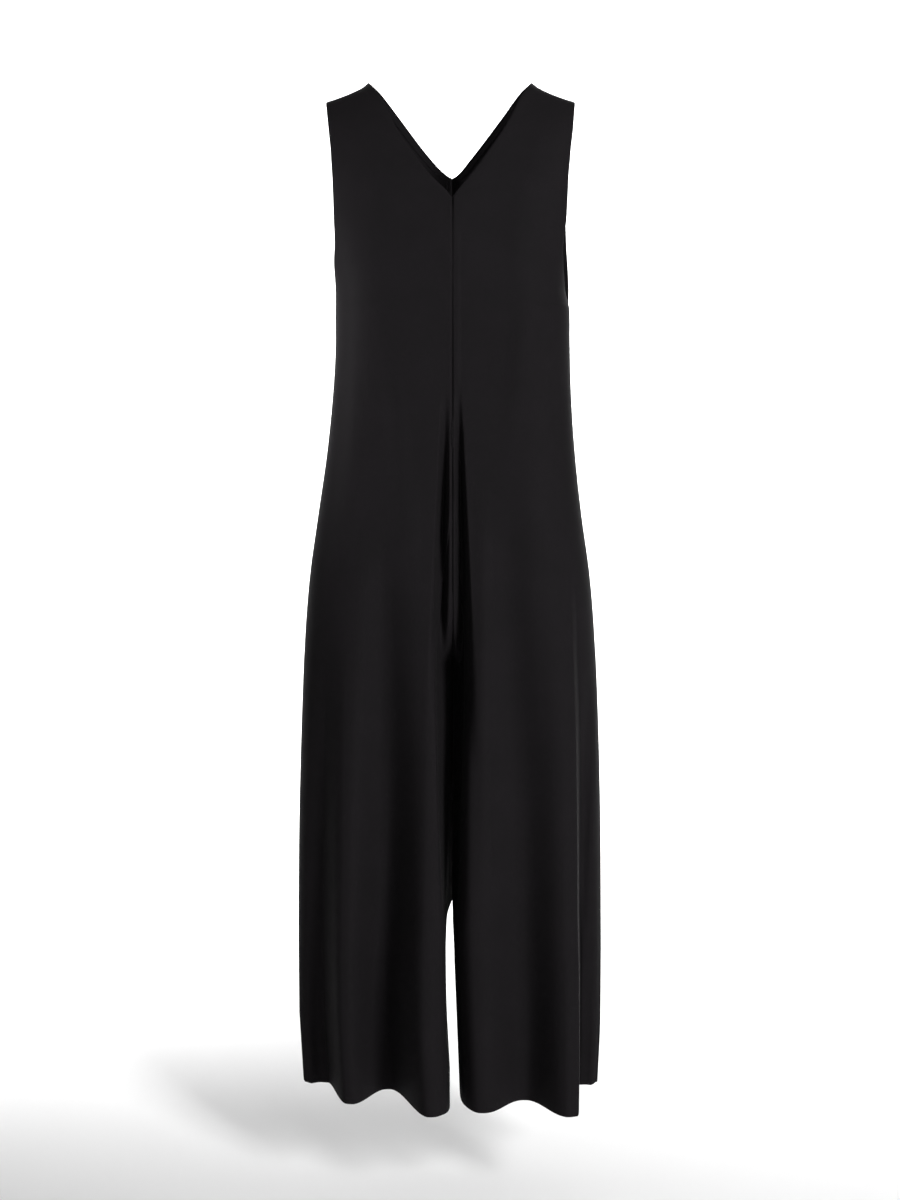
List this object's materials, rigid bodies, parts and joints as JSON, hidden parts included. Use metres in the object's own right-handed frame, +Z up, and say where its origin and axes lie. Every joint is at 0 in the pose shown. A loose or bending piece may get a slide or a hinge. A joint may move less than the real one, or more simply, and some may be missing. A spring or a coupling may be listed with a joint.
{
  "type": "sleeveless wide-leg jumpsuit",
  "caption": "Sleeveless jumpsuit in plain black cloth with a V neck at front and back, a gently drawn-in waist and long, wide, flared legs with fluted hems.",
  "frame": {"origin": "midway between the two shoulders, at their height, where the wearer's shoulders hold the garment up", "axes": "+Z up, the front of the garment faces -Y, +X to the right of someone who faces the front"},
  "size_m": [0.4276, 0.2557, 1.3891],
  "materials": {
    "cloth": "smooth black crepe with a soft matte sheen"
  },
  "bodies": {
    "root": {"front_left": "cloth", "front_right": "cloth", "back_left": "cloth", "back_right": "cloth"}
  },
  "joints": []
}
